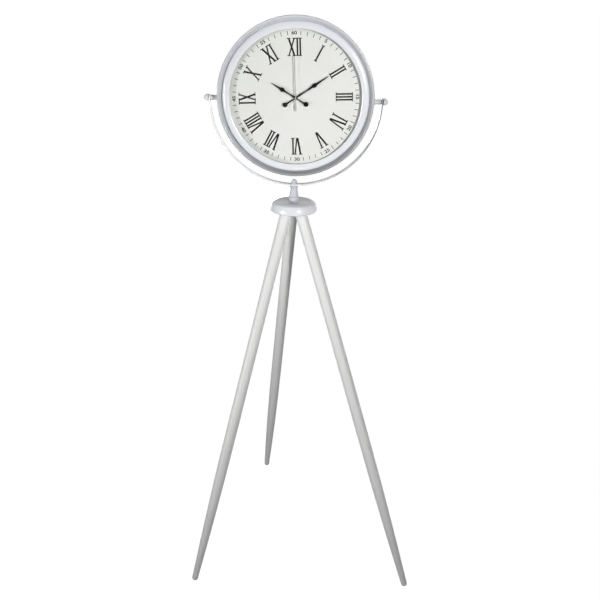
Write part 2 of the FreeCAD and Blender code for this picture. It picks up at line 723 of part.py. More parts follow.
def movement_pieces():
    return {
        "movement_case": movement_case(),
        "movement_lid": movement_lid(),
        "train_plate": train_plate(),
        "shaft_bush": DIAL.tube(HOUR_TUBE_R + ARBOR_CLEARANCE, BUSH_R, ahead(BUSH_LENGTH),
                                behind(MOVEMENT_START + MOVEMENT_WALL)),
        "dial_cushion": DIAL.tube(BUSH_R + 0.2, 12.0, behind(0), behind(MOVEMENT_START)),
        "dial_washer": DIAL.tube(BUSH_R, 5.2, ahead(0.5), ahead(0)),
        "dial_nut": DIAL.hexagon(9.4, BUSH_R, ahead(2.1), ahead(0.5)),
        "battery": battery(),
        "battery_contacts": battery_contacts(),
        "circuit_board": DIAL.block((-24.0, 13.0), (-4.0, 25.0), behind(12.0), behind(13.2)),
        "stator": stator(),
        "coil": coil(),
    }


def hour_wheel():
    wheel = DIAL.gear(HOUR_TEETH, HOUR_MODULE, MOTION_BEARING, behind(2.8), behind(3.8))
    pipe = DIAL.bar(HOUR_TUBE_R, ahead(5.4), behind(3.8))
    return union(wheel, pipe).cut(DIAL.bar(MINUTE_TUBE_R + ARBOR_CLEARANCE, ahead(6), behind(4)))


def minute_arbor():
    """Tube with the cannon pinion, stepped down at the front for the minute hand and its nut."""
    pinion = DIAL.gear(CANNON_TEETH, CANNON_MODULE, MOTION_BEARING, behind(4.1), behind(5.1))
    pipe = DIAL.bar(MINUTE_TUBE_R, ahead(6.1), behind(7.4))
    tip = DIAL.bar(MINUTE_TIP_R, ahead(7.6), ahead(6.1))
    return union(pinion, pipe, tip).cut(DIAL.bar(SECOND_ARBOR_R + ARBOR_CLEARANCE, ahead(8), behind(8)))


def motion_wheel():
    """Wheel and pinion on the setting knob's arbor."""
    pinion_phase = gap_phase(MOTION_PINION_TEETH, MOTION_BEARING)
    pinion = MOTION.gear(MOTION_PINION_TEETH, HOUR_MODULE, pinion_phase, behind(2.8), behind(4.1))
    wheel_phase = gap_phase(MOTION_TEETH, MOTION_BEARING)
    wheel = MOTION.gear(MOTION_TEETH, CANNON_MODULE, wheel_phase, behind(4.1), behind(5.1))
    return union(MOTION.bar(MOTION_ARBOR_R, behind(1.6), behind(20.0)), pinion, wheel)


def setting_knob():
    """Fluted knob pushed on the motion work's arbor."""
    body = MOTION.bar(SETTING_KNOB_R, behind(16.9), behind(21.0))
    flutes = []
    for i in range(16):
        across, up = polar(SETTING_KNOB_R + 0.3, i * 22.5)
        place = (MOTION_PLACE[0] + across, MOTION_PLACE[1] + up)
        flutes.append(arbor_axis(place).bar(0.8, behind(16.9), behind(21.0)))
    return body.cut(flutes + [MOTION.bar(MOTION_ARBOR_R, behind(16.9), behind(20.0))])


def second_wheel():
    arbor = DIAL.bar(SECOND_ARBOR_R, ahead(9.0), behind(ARBOR_REAR))
    pinion = DIAL.gear(SECOND_PINION_TEETH, THIRD_MODULE, THIRD_BEARING, behind(7.7), behind(8.5))
    wheel = DIAL.gear(SECOND_TEETH, STEP_MODULE, STEP_BEARING, behind(9.0), behind(9.7))
    return union(arbor, pinion, wheel)


def centre_wheel():
    wheel = DIAL.gear(CENTRE_TEETH, FINE_MODULE, THIRD_BEARING, behind(6.5), behind(7.2))
    return wheel.cut(DIAL.bar(MINUTE_TUBE_R + ARBOR_CLEARANCE, behind(6), behind(8)))


def third_wheel():
    pinion_phase = gap_phase(THIRD_PINION_TEETH, THIRD_BEARING)
    pinion = THIRD.gear(THIRD_PINION_TEETH, FINE_MODULE, pinion_phase, behind(6.5), behind(7.3))
    wheel_phase = gap_phase(THIRD_TEETH, THIRD_BEARING)
    wheel = THIRD.gear(THIRD_TEETH, THIRD_MODULE, wheel_phase, behind(7.8), behind(8.4))
    return union(THIRD.bar(ARBOR_R, behind(ARBOR_FRONT), behind(ARBOR_REAR)), pinion, wheel)


def step_wheel():
    pinion_phase = gap_phase(STEP_PINION_TEETH, STEP_BEARING)
    pinion = STEP.gear(STEP_PINION_TEETH, STEP_MODULE, pinion_phase, behind(8.8), behind(9.9))
    wheel = STEP.gear(STEP_TEETH, FINE_MODULE, ROTOR_BEARING, behind(10.4), behind(11.1))
    return union(STEP.bar(ARBOR_R, behind(ARBOR_FRONT), behind(ARBOR_REAR)), pinion, wheel)


def rotor():
    """Round magnet and pinion on the arbor that the coil drives."""
    pinion_phase = gap_phase(ROTOR_PINION_TEETH, ROTOR_BEARING)
    pinion = ROTOR.gear(ROTOR_PINION_TEETH, FINE_MODULE, pinion_phase, behind(10.2), behind(11.3))
    magnet = ROTOR.bar(2.8, behind(11.8), behind(13.4))
    return union(ROTOR.bar(ARBOR_R, behind(ARBOR_FRONT), behind(ARBOR_REAR)), pinion, magnet)


def ellipse_plate(centre_up, half_w, half_l, start, end):
    outline = Part.Ellipse(DIAL.at(0, start, centre_up + half_l), DIAL.at(half_w, start, centre_up),
                           DIAL.at(0, start, centre_up))
    return Part.Face(Part.Wire(outline.toShape())).extrude(Y_AXIS * (end - start))


def beaded_hand(angle, length, bead, tail, bore, height):
    """Black hand: slim arm that swells at an oval bead and runs out to a point, with a disc on its tail."""
    start, end = ahead(height + HAND_T), ahead(height)
    beyond = bead + BEAD_HALF_L
    halves = ((-tail, 2.3), (-HAND_HUB_R / 2, 1.2), (HAND_HUB_R / 2, 2.8), (0.45 * bead, 1.5), (bead, 2.8),
              (beyond, 2.6), ((beyond + length) / 2, 1.5), (length, 0.8))
    right = [(half, up) for up, half in halves]
    left = [(-half, up) for up, half in reversed(halves)]
    arm = DIAL.prism(right + left, start, end)
    disc = Lathe(DIAL.at(0, 0, -tail), Y_AXIS, X_AXIS).bar(TAIL_DISC_R, start, end)
    hub = DIAL.bar(HAND_HUB_R, start, end)
    bead_plate = ellipse_plate(bead, BEAD_HALF_W, BEAD_HALF_L, start, end)
    hand = union(arm, disc, hub, bead_plate).cut(DIAL.bar(bore, start, end))
    return hand.rotate(HEAD_CENTRE, Y_AXIS, angle)


def second_hand():
    """Thin straight hand with a small boss."""
    start, end = ahead(8.6), ahead(8.2)
    outline = [(-1.4, -SECOND_TAIL), (1.4, -SECOND_TAIL), (1.2, 0), (1.0, SECOND_LENGTH), (-1.0, SECOND_LENGTH),
               (-1.2, 0)]
    arm = DIAL.prism(outline, start, end)
    boss = DIAL.bar(2.4, start, ahead(7.9))
    hand = union(arm, boss).cut(DIAL.bar(SECOND_ARBOR_R, start - 1, end + 1))
    return hand.rotate(HEAD_CENTRE, Y_AXIS, SECOND_ANGLE)


def turning_pieces():
    return {
        "hour_wheel": hour_wheel(),
        "minute_arbor": minute_arbor(),
        "motion_wheel": motion_wheel(),
        "setting_knob": setting_knob(),
        "second_wheel": second_wheel(),
        "centre_wheel": centre_wheel(),
        "third_wheel": third_wheel(),
        "step_wheel": step_wheel(),
        "rotor": rotor(),
        "hour_hand": beaded_hand(HOUR_ANGLE, HOUR_LENGTH, HOUR_BEAD, HOUR_TAIL, HOUR_TUBE_R, 4.5),
        "minute_hand": beaded_hand(MINUTE_ANGLE, MINUTE_LENGTH, MINUTE_BEAD, MINUTE_TAIL, MINUTE_TIP_R, 6.1),
        "minute_nut": DIAL.hexagon(5.0, MINUTE_TIP_R, ahead(7.6), ahead(6.6)),
        "second_hand": second_hand(),
    }


def all_pieces():
    pieces = stand_pieces()
    pieces["yoke_strip"] = yoke_strip()
    pieces.update(case_pieces())
    pieces.update(pivot_pieces())
    pieces.update(movement_pieces())
    pieces.update(turning_pieces())
    return pieces


def main():
    os.makedirs("parts", exist_ok=True)
    for name, shape in all_pieces().items():
        for solid in shape.Solids:
            if not solid.isValid() or solid.Volume <= 0:
                raise ValueError("bad solid in " + name)
        shape.exportStep("parts/" + name + ".step")
        print(name, len(shape.Solids), round(shape.Volume / 1000, 3), "cm3")


main()
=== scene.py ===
"""Finishes, dial print and studio of the tripod floor clock, laid out as an add-on and run as a script."""
import math

import bmesh
import bpy
from bpy.props import FloatProperty, FloatVectorProperty, PointerProperty
from mathutils import Euler, Matrix, Vector


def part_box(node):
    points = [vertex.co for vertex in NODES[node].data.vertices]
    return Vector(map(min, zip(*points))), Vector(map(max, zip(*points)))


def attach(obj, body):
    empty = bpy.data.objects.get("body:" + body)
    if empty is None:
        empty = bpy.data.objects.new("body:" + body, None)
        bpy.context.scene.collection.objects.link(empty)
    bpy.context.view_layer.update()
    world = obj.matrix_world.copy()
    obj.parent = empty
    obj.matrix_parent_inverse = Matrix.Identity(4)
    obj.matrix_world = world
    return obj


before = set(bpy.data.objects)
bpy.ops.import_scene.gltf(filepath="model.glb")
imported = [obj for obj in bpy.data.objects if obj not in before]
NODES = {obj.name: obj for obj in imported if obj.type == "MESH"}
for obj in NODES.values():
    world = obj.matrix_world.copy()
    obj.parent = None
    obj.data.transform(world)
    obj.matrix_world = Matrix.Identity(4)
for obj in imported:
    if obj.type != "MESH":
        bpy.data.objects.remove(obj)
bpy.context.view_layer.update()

bl_info = {
    "name": "Tripod Floor Clock",
    "version": (1, 0, 0),
    "blender": (4, 5, 0),
    "location": "View3D > Sidebar > Clock",
    "description": "Paints the clock's pieces, prints its dial and sets up the studio",
    "category": "Object",
}

MM = 0.001
DIAL_LOW, DIAL_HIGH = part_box("dial")
DIAL_CENTRE = Vector(((DIAL_LOW.x + DIAL_HIGH.x) / 2, DIAL_LOW.y, (DIAL_LOW.z + DIAL_HIGH.z) / 2))
BLACK = (0.0, 0.0, 0.0)
# Shares of the yoke's half width between which its painted shade grows and its painted light fades
YOKE_SHADE_SPAN = (0.1, 0.85)
YOKE_LIGHT_SPAN = (0.6, 0.2)
# Shares of the rear leg's height between which its shade fades
REAR_SHADE_SPAN = (0.6, 0.9)


def length(name, description, default):
    """A size in metres, written here in millimetres."""
    return FloatProperty(name=name, description=description, default=default * MM, unit="LENGTH",
                         precision=4)


def share(name, description, default):
    return FloatProperty(name=name, description=description, default=default, subtype="FACTOR",
                         min=0.0, max=1.0)


def angle(name, description, default):
    """An angle in radians, written here in degrees."""
    return FloatProperty(name=name, description=description, default=math.radians(default), unit="ROTATION")


def number(name, description, default):
    return FloatProperty(name=name, description=description, default=default, min=0.0)


def colour(name, description, default):
    return FloatVectorProperty(name=name, description=description, default=default, subtype="COLOR", size=3,
                               min=0.0, max=1.0)


class ClockFinishes(bpy.types.PropertyGroup):
    """Colours and gloss of the clock's surfaces"""
    enamel: colour("Enamel", "White enamel of the head, yoke and cap", (0.855, 0.87, 0.912))
    enamel_roughness: share("Enamel roughness", "How dull the enamel is", 0.24)
    enamel_coat: share("Enamel coat", "Strength of the enamel's clear coat", 0.25)
    # The satin paint is a darker copy of the enamel; its darker tone is painted shade
    satin: colour("Satin", "Duller paint of the stem and finial", (0.61, 0.62, 0.68))
    leg_paint: colour("Leg paint", "Paint of the wooden legs", (0.865, 0.877, 0.862))
    rear_shade: share("Rear shade", "How much darker the rear leg is from its middle down", 0.18)
    leg_grain: share("Leg grain", "How strongly the grain shows through the paint", 0.35)
    dial_card: colour("Dial card", "Printed card of the dial", (0.86, 0.855, 0.828))
    # Painted shade on level faces: full behind one depth, fading towards the front
    dust: share("Dust", "How much has settled on level faces", 0.85)
    wiped_until: length("Wiped until", "Depth behind the stem's axis where the dust lies untouched", 10.0)
    yoke_wiped_until: length("Yoke wiped until", "The same depth for the dust on the yoke", -5.0)
    wiped_width: length("Wiped width", "Depth over which the dust thins out towards the front", 26.0)
    dust_colour: colour("Dust colour", "Colour of what has settled", (0.26, 0.27, 0.26))
    # From the groove out: partly a grey finish, partly painted shade that is heavier low and lighter at the
    # left
    groove_colour: colour("Groove colour", "Grey of the bezel from its groove outwards", (0.19, 0.20, 0.20))
    groove_low: share("Groove grey, low", "How much of this grey covers the bezel's bottom", 0.88)
    groove_high: share("Groove grey, high", "How much of this grey covers the bezel's top", 0.22)
    groove_left: share("Groove grey, left", "Share of this grey that remains at the bezel's far left", 0.72)
    # Painted shade on the yoke's right end, the right post and thumb nut; painted light on the yoke's left
    # end
    yoke_grey: share("Yoke grey", "How much of the groove's grey covers the yoke's right end", 0.72)
    yoke_white: colour("Yoke white", "Enamel of the yoke's left end", (0.96, 0.965, 0.975))
    fitting_grey: share("Fitting grey", "How much of it covers the right post and thumb nut", 0.24)
    groove_start: length("Groove start", "Distance of the groove's inner edge from the rim", 13.5)
    # The paler line near the rim is a painted highlight
    line_start: length("Rim line start", "Distance of the paler line's inner edge from the rim", 7.0)
    line_end: length("Rim line end", "Distance of the paler line's outer edge from the rim", 2.0)
    line_share: share("Rim line", "How much less of the groove's grey lies on the paler line", 0.14)
    ink: colour("Ink", "Printing ink of the dial", (0.012, 0.012, 0.012))
    minute_ink: colour("Minute ink", "Thinner ink of the minute ring", (0.06, 0.065, 0.06))
    hand_paint: colour("Hand paint", "Paint of the hour and minute hand", (0.006, 0.006, 0.006))
    second_paint: colour("Second hand paint", "Paint of the second hand", (0.42, 0.42, 0.42))
    # Painted shadow of the bezel's lip on the card's upper left edge
    edge_shade: share("Edge shade", "How dark the card has grown at its upper left edge", 0.42)
    edge_width: length("Edge width", "Width of that edge, measured from the spacer's outside", 14.0)
    spacer: colour("Spacer", "Plastic ring between the dial and the glass", (0.50, 0.54, 0.50))
    # The right side's dark colour is painted shade
    spacer_right: colour("Spacer, right", "Colour of the ring's right side", (0.13, 0.15, 0.13))


class ClockDialPrint(bpy.types.PropertyGroup):
    """Sizes of the printed figures"""
    card_turn: angle("Card turn", "How far the printed card sits turned in the case, clockwise", -2.5)
    numeral_inner: length("Numeral foot", "Radius of the hour numerals' feet", 102.0)
    numeral_outer: length("Numeral top", "Radius of the hour numerals' tops", 145.5)
    stem_width: length("Thick stroke", "Width of the numerals' thick strokes", 4.1)
    hair_width: length("Thin stroke", "Width of the numerals' thin strokes", 3.6)
    serif_height: length("Serif height", "Height of the numerals' serifs", 2.2)
    serif_reach: length("Serif reach", "How far a serif passes the side of its stroke", 2.3)
    stem_pitch: length("Stroke pitch", "Distance between neighbouring strokes", 7.2)
    five_pitch: length("Five's pitch", "Distance from a five's right arm to the stroke after it", 5.0)
    letter_width: length("Letter width", "Distance between the arms of a five or a ten", 14.4)
    tick_inner: length("Tick foot", "Radius of the minute ticks' inner ends", 152.5)
    tick_outer: length("Tick top", "Radius of the minute ticks' outer ends", 162.0)
    tick_width: length("Tick width", "Width of the minute ticks", 1.6)
    figure_height: length("Figure height", "Height of the minute figures", 9.0)
    figure_stretch: number("Figure stretch", "How many times wider the minute figures are made", 1.2)
    # Above 0.03 the typeface's 3 or 6 loses part of its fill
    figure_weight: number("Figure weight", "How far the minute figures' outlines move out", 0.03)
    figure_radius: length("Figure radius", "Radius of the minute figures' middles", 157.5)
    film: length("Ink film", "How far the ink stands off the card", 0.06)


class ClockStudio(bpy.types.PropertyGroup):
    """Camera and lamps"""
    camera_place: FloatVectorProperty(name="Camera", description="Camera's place", size=3,
                                      default=(0.0751, -2.1512, 1.6239), subtype="TRANSLATION",
                                      unit="LENGTH")
    camera_turn: angle("Turn", "Camera's turn about the upright", 1.387)
    camera_pitch: angle("Pitch", "How far the camera looks down", 21.477)
    camera_roll: angle("Roll", "Camera's turn about its own view", 1.376)
    lens: number("Lens", "Focal length in millimetres", 49.31)
    sensor: number("Sensor", "Sensor width in millimetres", 36.0)
    key_power: number("Key", "Power of the right front lamp in watts", 7.2)
    fill_power: number("Fill", "Power of the left lamp in watts", 4.1)
    leg_power: number("Legs", "Power of the low right lamp in watts", 0.5)
    back_power: number("Back", "Power of the lamp behind in watts", 3.4)
    low_power: number("Low", "Power of the low front lamp in watts", 0.12)
    surround: share("Surround", "Strength of the light from all round at the horizon", 0.07)
    zenith: share("Zenith", "Strength of the light from straight above", 0.03)


def finishes():
    return bpy.context.scene.clock_finishes


def dial_print():
    return bpy.context.scene.clock_dial_print


def studio():
    return bpy.context.scene.clock_studio


def scaled(values, factor):
    return tuple(factor * channel for channel in values)


def rgba(values, factor=1.0):
    return (*scaled(values, factor), 1.0)


# Shader nodes and the groups that the finishes share

FLOAT = "NodeSocketFloat"
COLOUR = "NodeSocketColor"
VECTOR = "NodeSocketVector"
# How many times finer the second scale of the ripple is
RIPPLE_RATIO = 5.0
# Part of the noise's range that is spread out to make streaks
STREAK_RANGE = (0.32, 0.68)
# Upward part of a normal where the painted shade on level faces begins, and where it is full
LEVEL_RANGE = (0.97, 0.998)
# Thinnest share of the painted shade on level faces, and how much the cloud adds to it
SHADE_LEAST, SHADE_SWING = 0.85, 0.3


def new_group(name, inputs, outputs):
    """Empty node group with the sockets asked for; returns its tree, its input node and its output node."""
    tree = bpy.data.node_groups.new(name, "ShaderNodeTree")
    for socket, kind, default in inputs:
        made = tree.interface.new_socket(socket, in_out="INPUT", socket_type=kind)
        made.default_value = default
    for socket, kind in outputs:
        tree.interface.new_socket(socket, in_out="OUTPUT", socket_type=kind)
    return tree, tree.nodes.new("NodeGroupInput"), tree.nodes.new("NodeGroupOutput")


def feed(tree, socket, value):
    """Links a socket to another one, or sets it to a constant."""
    if isinstance(value, bpy.types.NodeSocket):
        tree.links.new(value, socket)
    else:
        socket.default_value = value


def math_node(tree, operation, first, second):
    node = tree.nodes.new("ShaderNodeMath")
    node.operation = operation
    for socket, value in zip(node.inputs, (first, second)):
        feed(tree, socket, value)
    return node.outputs[0]


def vector_node(tree, operation, *values):
    node = tree.nodes.new("ShaderNodeVectorMath")
    node.operation = operation
    for socket, value in zip(node.inputs, values):
        feed(tree, socket, value)
    return node.outputs


def noise_node(tree, vector, scale, detail, roughness=0.5):
    node = tree.nodes.new("ShaderNodeTexNoise")
    node.inputs["Detail"].default_value = detail
    node.inputs["Roughness"].default_value = roughness
    feed(tree, node.inputs["Vector"], vector)
    feed(tree, node.inputs["Scale"], scale)
    return node.outputs["Fac"]


def ramp_node(tree, value, given, wanted):
    """Value that runs between two wanted ones while another runs between two given ones."""
    ramp = tree.nodes.new("ShaderNodeMapRange")
    ramp.inputs["From Min"].default_value, ramp.inputs["From Max"].default_value = given
    ramp.inputs["To Min"].default_value, ramp.inputs["To Max"].default_value = wanted
    tree.links.new(value, ramp.inputs["Value"])
    return ramp.outputs[0]


def colour_mix(tree, factor, first, second):
    """Mixes two colours; the node has more sockets of these names, which aren't enabled."""
    node = tree.nodes.new("ShaderNodeMix")
    node.data_type = "RGBA"
    sockets = {socket.name: socket for socket in node.inputs if socket.enabled}
    for name, value in (("Factor", factor), ("A", first), ("B", second)):
        feed(tree, sockets[name], value)
    return [socket for socket in node.outputs if socket.enabled][0]


def object_place(tree):
    return tree.nodes.new("ShaderNodeTexCoord").outputs["Object"]


def vector_parts(tree, vector):
    """Outputs X, Y and Z of a vector."""
    parts = tree.nodes.new("ShaderNodeSeparateXYZ")
    tree.links.new(vector, parts.inputs["Vector"])
    return parts.outputs


def place_parts(tree):
    return vector_parts(tree, object_place(tree))


def mottle_group():
    """Slow, faint change between two colours, with a matching change of roughness."""
    tree, given, result = new_group(
        "Mottle",
        (("Colour", COLOUR, (0.8, 0.8, 0.8, 1.0)), ("Second Colour", COLOUR, (0.7, 0.7, 0.7, 1.0)),
         ("Roughness", FLOAT, 0.4), ("Spread", FLOAT, 0.1), ("Scale", FLOAT, 8.0)),
        (("Colour", COLOUR), ("Roughness", FLOAT)),
    )
    place = object_place(tree)
    cloud = noise_node(tree, place, given.outputs["Scale"], 4.0, 0.6)
    mixed = colour_mix(tree, cloud, given.outputs["Colour"], given.outputs["Second Colour"])
    swing = math_node(tree, "MULTIPLY", math_node(tree, "SUBTRACT", cloud, 0.5), given.outputs["Spread"])
    tree.links.new(mixed, result.inputs["Colour"])
    tree.links.new(math_node(tree, "ADD", given.outputs["Roughness"], swing), result.inputs["Roughness"])
    return tree


def ripple_group():
    """Height of the slight ripple of sprayed or moulded surfaces, on two scales."""
    tree, given, result = new_group(
        "Ripple",
        (("Scale", FLOAT, 400.0), ("Fine Share", FLOAT, 0.3)),
        (("Height", FLOAT),),
    )
    place = object_place(tree)
    coarse = noise_node(tree, place, given.outputs["Scale"], 2.0)
    fine_scale = math_node(tree, "MULTIPLY", given.outputs["Scale"], RIPPLE_RATIO)
    fine = noise_node(tree, place, fine_scale, 2.0)
    total = math_node(tree, "ADD", coarse, math_node(tree, "MULTIPLY", fine, given.outputs["Fine Share"]))
    tree.links.new(total, result.inputs["Height"])
    return tree


def streak_group():
    """Fine lines that run along one direction of the vector that comes in, as in wood or brushed metal."""
    tree, given, result = new_group(
        "Streaks",
        (("Vector", VECTOR, (0.0, 0.0, 0.0)), ("Scale", FLOAT, 200.0), ("Contrast", FLOAT, 0.5)),
        (("Mask", FLOAT),),
    )
    lines = noise_node(tree, given.outputs["Vector"], given.outputs["Scale"], 5.0, 0.65)
    sharp = ramp_node(tree, lines, STREAK_RANGE, (0.0, 1.0))
    tree.links.new(math_node(tree, "MULTIPLY", sharp, given.outputs["Contrast"]), result.inputs["Mask"])
    return tree


def crevice_group():
    """Mask of painted shade, strong in corners and under overhangs."""
    tree, given, result = new_group(
        "Crevice Dust",
        (("Reach", FLOAT, 6.0 * MM), ("Amount", FLOAT, 0.5)),
        (("Mask", FLOAT),),
    )
    shade = tree.nodes.new("ShaderNodeAmbientOcclusion")
    shade.samples = 6
    tree.links.new(given.outputs["Reach"], shade.inputs["Distance"])
    closed = math_node(tree, "SUBTRACT", 1.0, shade.outputs["AO"])
    tree.links.new(math_node(tree, "MULTIPLY", closed, given.outputs["Amount"]), result.inputs["Mask"])
    return tree


def settled_group():
    """Mask of painted shade on level faces that look up, broken up by a fine cloud."""
    tree, given, result = new_group(
        "Settled Dust",
        (("Amount", FLOAT, 0.5), ("Scale", FLOAT, 40.0)),
        (("Mask", FLOAT),),
    )
    facing = vector_parts(tree, tree.nodes.new("ShaderNodeNewGeometry").outputs["Normal"])
    level = ramp_node(tree, facing["Z"], LEVEL_RANGE, (0.0, 1.0))
    cloud = noise_node(tree, object_place(tree), given.outputs["Scale"], 3.0)
    broken = math_node(tree, "ADD", math_node(tree, "MULTIPLY", cloud, SHADE_SWING), SHADE_LEAST)
    mask = math_node(tree, "MULTIPLY", math_node(tree, "MULTIPLY", level, broken), given.outputs["Amount"])
    tree.links.new(mask, result.inputs["Mask"])
    return tree


def ring_group():
    """Mask of a ring about the dial's axis, between two radii, with soft edges."""
    tree, given, result = new_group(
        "Dial Ring",
        (("Inner", FLOAT, 0.1), ("Outer", FLOAT, 0.2), ("Softness", FLOAT, 1.0 * MM)),
        (("Mask", FLOAT),),
    )
    away = vector_node(tree, "SUBTRACT", object_place(tree), DIAL_CENTRE)["Vector"]
    flat = vector_node(tree, "MULTIPLY", away, (1.0, 0.0, 1.0))["Vector"]
    radius = vector_node(tree, "LENGTH", flat)["Value"]
    inside = math_node(tree, "SUBTRACT", given.outputs["Outer"], radius)
    outside = math_node(tree, "SUBTRACT", radius, given.outputs["Inner"])
    nearest = math_node(tree, "MINIMUM", inside, outside)
    clamp = tree.nodes.new("ShaderNodeClamp")
    tree.links.new(math_node(tree, "DIVIDE", nearest, given.outputs["Softness"]), clamp.inputs["Value"])
    tree.links.new(clamp.outputs["Result"], result.inputs["Mask"])
    return tree


GROUP_MAKERS = {
    "Mottle": mottle_group,
    "Ripple": ripple_group,
    "Streaks": streak_group,
    "Crevice Dust": crevice_group,
    "Settled Dust": settled_group,
    "Dial Ring": ring_group,
}


def place_group(tree, name, **values):
    """Puts a shared group in a material, with numbers, colours or links on its inputs."""
    node = tree.nodes.new("ShaderNodeGroup")
    node.node_tree = bpy.data.node_groups.get(name) or GROUP_MAKERS[name]()
    for key, value in values.items():
        feed(tree, node.inputs[key.replace("_", " ")], value)
    return node.outputs


def new_material(name):
    """Material with one principled shader; returns the material, its tree and the shader."""
    material = bpy.data.materials.new(name)
    material.use_nodes = True
    tree = material.node_tree
    return material, tree, tree.nodes["Principled BSDF"]


def add_bump(tree, shader, height, strength, distance):
    bump = tree.nodes.new("ShaderNodeBump")
    bump.inputs["Strength"].default_value = strength
    bump.inputs["Distance"].default_value = distance
    tree.links.new(height, bump.inputs["Height"])
    tree.links.new(bump.outputs["Normal"], shader.inputs["Normal"])


def mottled(name, base, second, roughness, scale, spread=0.1, ripple=400.0, ripple_depth=0.02, coat=0.0,
            specular=0.5):
    """Material with a slow change between two colours and a ripple, whose depth is in millimetres."""
    material, tree, shader = new_material(name)
    cloud = place_group(tree, "Mottle", Colour=rgba(base), Second_Colour=rgba(second), Roughness=roughness,
                        Spread=spread, Scale=scale)
    tree.links.new(cloud["Colour"], shader.inputs["Base Color"])
    tree.links.new(cloud["Roughness"], shader.inputs["Roughness"])
    shader.inputs["Coat Weight"].default_value = coat
    shader.inputs["Specular IOR Level"].default_value = specular
    height = place_group(tree, "Ripple", Scale=ripple)["Height"]
    add_bump(tree, shader, height, 0.5, ripple_depth * MM)
    return material


def tint(material, mask, colour_values):
    """Lays one more colour over a material's base colour where a mask says so."""
    tree = material.node_tree
    base = tree.nodes["Principled BSDF"].inputs["Base Color"]
    tree.links.new(colour_mix(tree, mask, base.links[0].from_socket, rgba(colour_values)), base)


def baked_paint(name, base, roughness, coat):
    """Smooth paint with shaded corners."""
    painted = mottled(name, base, scaled(base, 0.965), roughness, scale=6.0, spread=0.08, ripple=220.0,
                      ripple_depth=0.03, coat=coat)
    # Painted shade in corners and under overhangs
    corners = place_group(painted.node_tree, "Crevice Dust", Reach=8.0 * MM, Amount=0.35)["Mask"]
    tint(painted, corners, scaled(base, 0.45))
    return painted


def enamel_material(name):
    return baked_paint(name, finishes().enamel, finishes().enamel_roughness, finishes().enamel_coat)


def dusty_enamel(name, full_shade_from):
    """The enamel with painted shade on its level faces, full behind one depth and fading out before it."""
    enamel = enamel_material(name)
    tree = enamel.node_tree
    # Painted shade on level faces, full towards the back
    darkened = place_group(tree, "Settled Dust", Amount=finishes().dust, Scale=40.0)["Mask"]
    shade_fade_start = full_shade_from - finishes().wiped_width
    towards_back = ramp_node(tree, place_parts(tree)["Y"], (shade_fade_start, full_shade_from), (0.0, 1.0))
    tint(enamel, math_node(tree, "MULTIPLY", darkened, towards_back), finishes().dust_colour)
    return enamel


def grey_towards_right(material, amount):
    """Lays the groove's grey over a material as painted shade, more of it towards the yoke's right end."""
    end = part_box("yoke_strip")[1].x
    tree = material.node_tree
    # Painted shade, more of it towards the right
    grown = ramp_node(tree, place_parts(tree)["X"], scaled(YOKE_SHADE_SPAN, end), (0.0, amount))
    tint(material, grown, finishes().groove_colour)
    return material


def yoke_material():
    """The enamel with painted shade on level faces, painted light towards the left end and painted shade
    towards the right end.
    """
    yoke = dusty_enamel("yoke_enamel", finishes().yoke_wiped_until)
    tree = yoke.node_tree
    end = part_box("yoke_strip")[0].x
    # Painted light towards the left end
    whiter = ramp_node(tree, place_parts(tree)["X"], scaled(YOKE_LIGHT_SPAN, end), (1.0, 0.0))
    tint(yoke, whiter, finishes().yoke_white)
    return grey_towards_right(yoke, finishes().yoke_grey)


def bezel_material():
    """The enamel: white on the band; from the groove out a grey finish with painted shade, and a paler line
    as painted highlight.
    """
    low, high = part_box("bezel")
    rim = (high.x - low.x) / 2
    bezel = enamel_material("bezel_enamel")
    tree = bezel.node_tree
    # Grey from the groove out: partly a grey finish, partly painted shade, more of it low and less at the
    # far left
    groove = place_group(tree, "Dial Ring", Inner=rim - finishes().groove_start, Outer=2 * rim,
                         Softness=1.2 * MM)["Mask"]
    place = place_parts(tree)
    upward = ramp_node(tree, place["Z"], (low.z, high.z), (finishes().groove_low, finishes().groove_high))
    across = ramp_node(tree, place["X"], (low.x, 0.0), (finishes().groove_left, 1.0))
    # A paler line near the rim as painted highlight
    line = place_group(tree, "Dial Ring", Inner=rim - finishes().line_start,
                       Outer=rim - finishes().line_end, Softness=2.0 * MM)["Mask"]
    grey = math_node(tree, "SUBTRACT", 1.0, math_node(tree, "MULTIPLY", line, finishes().line_share))
    for share_of_grey in (groove, upward, across):
        grey = math_node(tree, "MULTIPLY", grey, share_of_grey)
    tint(bezel, grey, finishes().groove_colour)
    return bezel


